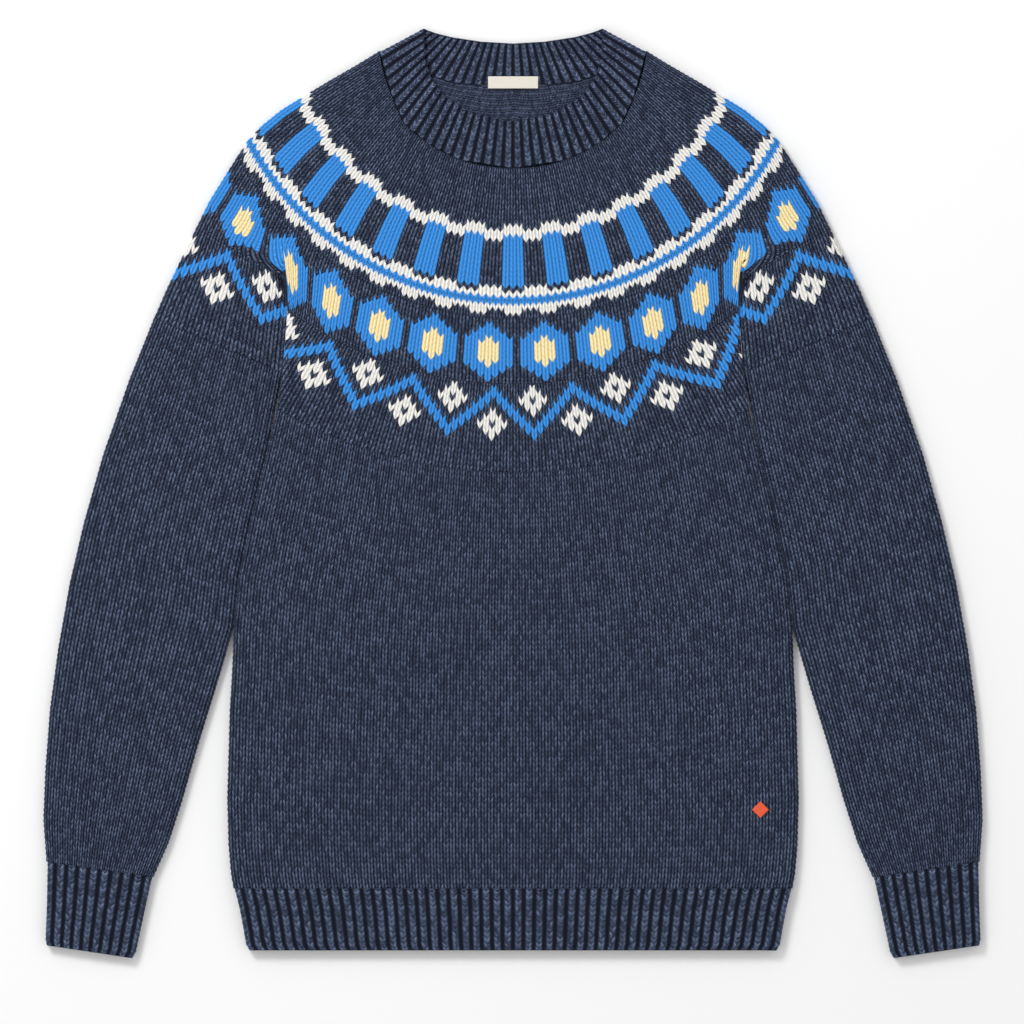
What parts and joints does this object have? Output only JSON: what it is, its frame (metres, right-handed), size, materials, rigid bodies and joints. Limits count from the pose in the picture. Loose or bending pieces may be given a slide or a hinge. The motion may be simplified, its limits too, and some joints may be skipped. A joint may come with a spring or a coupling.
{
  "type": "fair isle jumper",
  "caption": "Long-sleeved navy wool jumper with a round fair isle yoke and ribbed collar, cuffs and hem, laid flat on its back.",
  "frame": {"origin": "centre of the bounding box in plan, on the surface the garment lies on", "axes": "+X towards the garment's own left sleeve, +Y towards the neck, +Z out of the front of the garment"},
  "size_m": [0.733, 0.7255, 0.0097],
  "materials": {
    "navy_wool": "heathered navy wool in stocking stitch, matt and slightly fuzzy",
    "pattern_wool": "navy wool yoke with bright blue, cream and pale yellow stranded pattern",
    "navy_rib": "heathered navy wool in one-by-one rib",
    "label_tape": "plain woven cream tape",
    "badge_thread": "satin-stitched orange thread"
  },
  "bodies": {
    "root": {"body_back": "navy_wool", "body_front": "navy_wool", "hem_rib": "navy_rib", "yoke": "pattern_wool", "sleeve_left": "navy_wool", "sleeve_right": "navy_wool", "cuff_left": "navy_rib", "cuff_right": "navy_rib", "collar": "navy_rib", "neck_label": "label_tape", "hem_badge": "badge_thread"}
  },
  "joints": []
}
